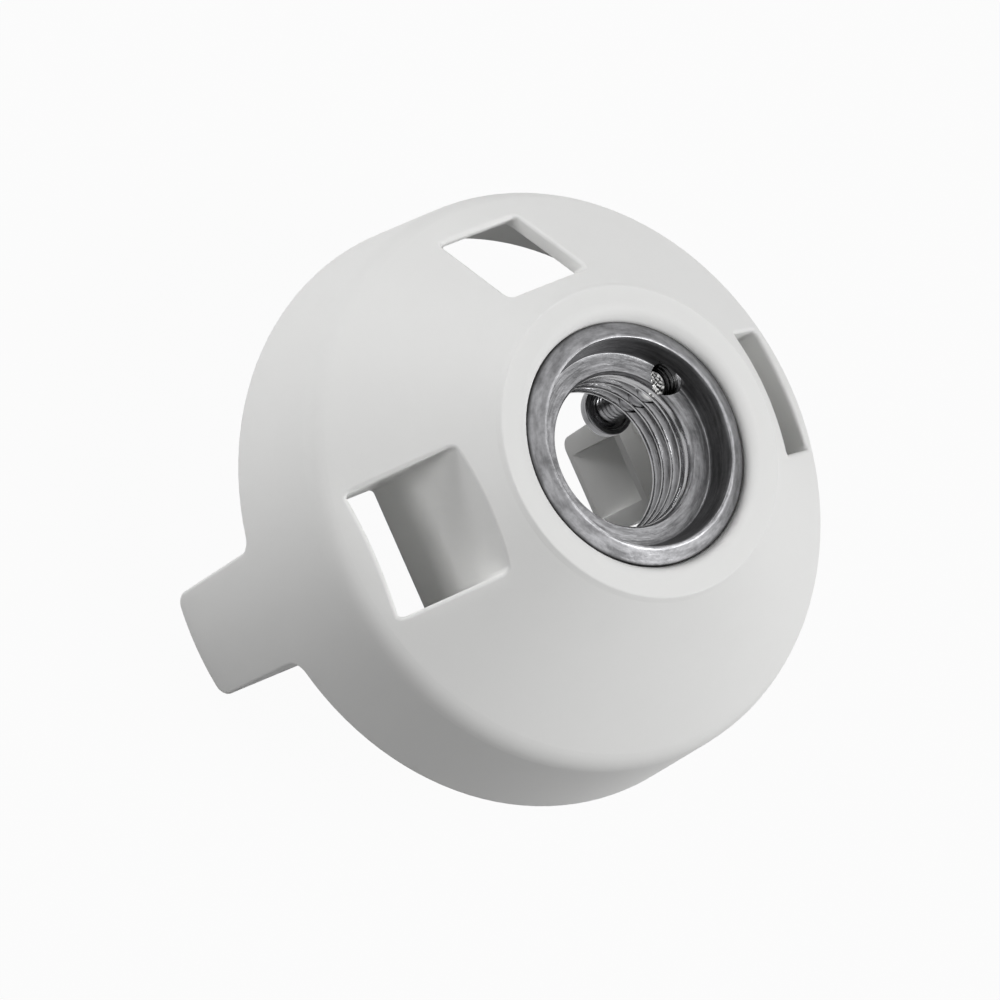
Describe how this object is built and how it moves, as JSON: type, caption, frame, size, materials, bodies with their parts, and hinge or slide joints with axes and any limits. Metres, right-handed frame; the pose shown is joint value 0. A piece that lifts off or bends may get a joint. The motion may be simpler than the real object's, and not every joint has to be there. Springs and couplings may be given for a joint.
{
  "type": "lamp holder cap",
  "caption": "Moulded plastic cap of a lamp holder, with two snap legs, windows in its cone, a threaded metal insert for the lamp's pipe and a small locking screw beside the bore.",
  "frame": {"origin": "on the axis of the bore, in the plane of the leg tips", "axes": "+Z along the bore from the open rear to the collar, +X towards one leg, +Y towards the window that has no leg"},
  "size_m": [0.0372, 0.0358, 0.0234],
  "materials": {
    "cap_plastic": "satin white moulded thermoplastic",
    "insert_metal": "turned and zinc plated",
    "screw_metal": "plated"
  },
  "bodies": {
    "cap": {"cap": "cap_plastic", "threaded_insert": "insert_metal"},
    "screw": {"locking_screw": "screw_metal"}
  },
  "joints": [
    {"name": "screw_travel", "type": "slide", "parent": "cap", "child": "screw", "axis": [0, 0, 1], "range_m": [-0.0031, 0.0018]}
  ]
}
